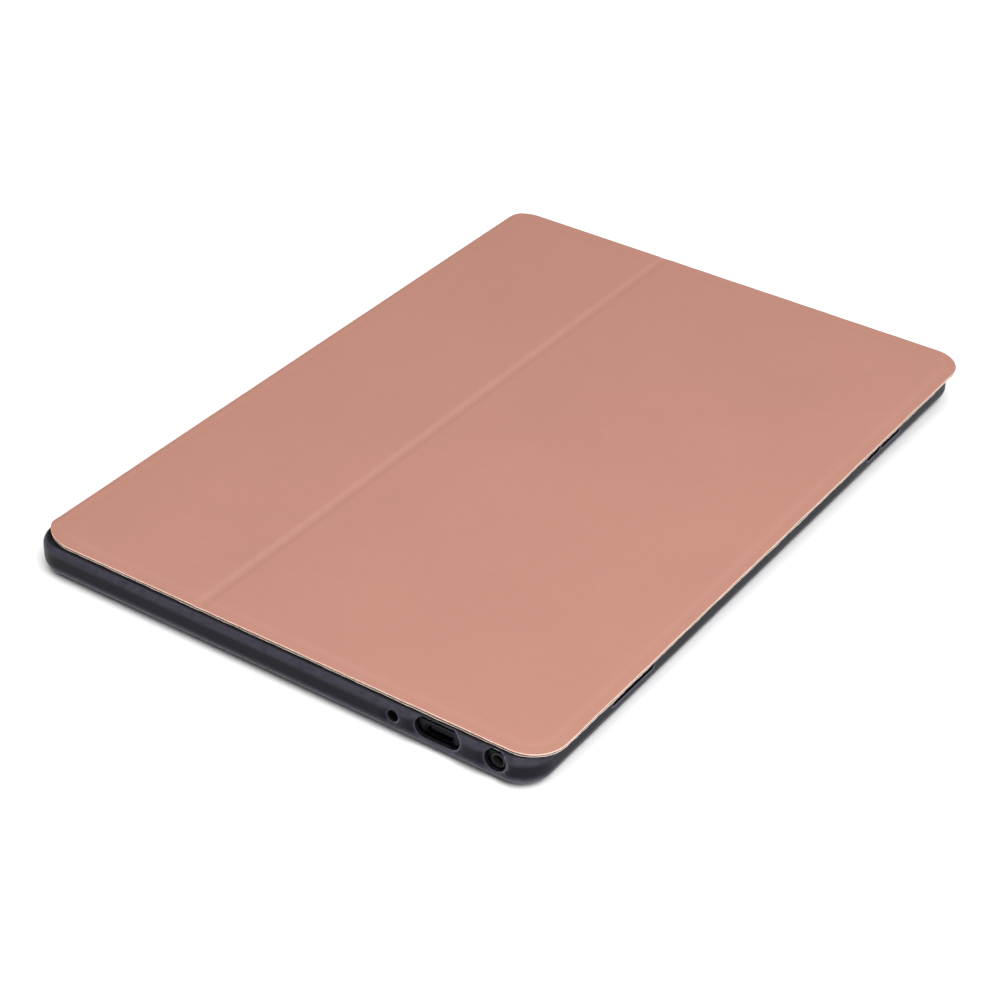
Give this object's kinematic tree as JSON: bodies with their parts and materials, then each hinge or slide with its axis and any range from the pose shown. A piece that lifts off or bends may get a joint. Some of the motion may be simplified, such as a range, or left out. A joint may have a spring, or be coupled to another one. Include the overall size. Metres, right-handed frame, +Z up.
{
  "type": "tablet computer in a folio case",
  "caption": "Tablet computer held in a soft tray with a folding leather cover closed over its screen, with side keys, a card tray and ports at one end.",
  "frame": {"origin": "centre of the underside, on the plane the closed case rests on", "axes": "+Z up through the cover, +Y along the long side away from the ports, +X from the spine to the free side with the keys"},
  "size_m": [0.1744, 0.2476, 0.0124],
  "materials": {
    "rose_leather": "matte fine-grained coated leather, rose pink",
    "soft_black": "satin soft moulded polymer, black",
    "lining_cloth": "short microfibre nap, warm grey",
    "greyboard": "plain pressed board",
    "anodised_shell": "fine blasted and anodised, dark grey",
    "black_glass": "polished cover glass with black backing",
    "panel_black": "dark laminated panel, unlit",
    "black_plastic": "fine moulded texture",
    "bright_steel": "plain stamped and plated",
    "circuit_green": "solder mask over woven board",
    "ribbon_amber": "amber film with copper tracks",
    "cell_wrap": "crimped foil pouch in a dark wrap",
    "gilt_brass": "thin gilt plating"
  },
  "bodies": {
    "tablet_in_tray": {"case_tray": "soft_black", "back_panel": "rose_leather", "lower_hinge_leather": "rose_leather", "rear_housing": "anodised_shell", "mid_frame": "black_plastic", "display_glass": "black_glass", "display_gasket": "black_plastic", "display_panel": "panel_black", "display_ribbon": "ribbon_amber", "battery_left": "cell_wrap", "battery_right": "cell_wrap", "battery_ribbon": "ribbon_amber", "main_board": "circuit_green", "processor_shield": "bright_steel", "power_shield": "bright_steel", "board_screw_1": "bright_steel", "board_screw_2": "bright_steel", "board_screw_3": "bright_steel", "board_screw_4": "bright_steel", "frame_screw_1": "bright_steel", "frame_screw_2": "bright_steel", "frame_screw_3": "bright_steel", "frame_screw_4": "bright_steel", "frame_screw_5": "bright_steel", "frame_screw_6": "bright_steel", "port_board": "circuit_green", "usb_connector": "bright_steel", "headphone_jack": "black_plastic", "microphone": "gilt_brass", "speaker_left": "black_plastic", "speaker_right": "black_plastic", "wifi_antenna": "gilt_brass", "mobile_antenna": "gilt_brass", "rear_camera": "black_plastic", "rear_camera_lens": "black_glass", "front_camera": "black_plastic", "light_sensor": "black_plastic", "key_board": "ribbon_amber", "card_reader": "bright_steel"},
    "spine": {"spine_strip": "rose_leather"},
    "narrow_panel": {"cover_leather_narrow": "rose_leather", "cover_board_narrow": "greyboard", "cover_lining_narrow": "lining_cloth"},
    "wide_panel": {"cover_leather_wide": "rose_leather", "cover_board_wide": "greyboard", "cover_lining_wide": "lining_cloth", "sleep_magnet": "bright_steel"},
    "power_key": {"power_button": "anodised_shell"},
    "volume_key": {"volume_rocker": "anodised_shell"},
    "card_sled": {"card_tray": "anodised_shell"}
  },
  "joints": [
    {"name": "spine_hinge", "type": "hinge", "parent": "tablet_in_tray", "child": "spine", "pos_m": [-0.08623, 0, 0.00097], "axis": [0, -1, 0], "range_deg": [0, 90]},
    {"name": "cover_hinge", "type": "hinge", "parent": "spine", "child": "narrow_panel", "pos_m": [-0.08623, 0, 0.01143], "axis": [0, -1, 0], "range_deg": [0, 90]},
    {"name": "crease_fold", "type": "hinge", "parent": "narrow_panel", "child": "wide_panel", "pos_m": [-0.0248, 0, 0.0124], "axis": [0, 1, 0], "range_deg": [-170, 0]},
    {"name": "power_press", "type": "slide", "parent": "tablet_in_tray", "child": "power_key", "axis": [-1, 0, 0], "range_m": [0, 0.00035], "stiffness_N_per_m": 3000},
    {"name": "volume_rock", "type": "hinge", "parent": "tablet_in_tray", "child": "volume_key", "pos_m": [0.081, 0.076, 0.007], "axis": [0, 0, 1], "range_deg": [-2, 2], "stiffness_Nm_per_rad": 0.05},
    {"name": "card_tray_slide", "type": "slide", "parent": "tablet_in_tray", "child": "card_sled", "axis": [1, 0, 0], "range_m": [0, 0.016]}
  ]
}
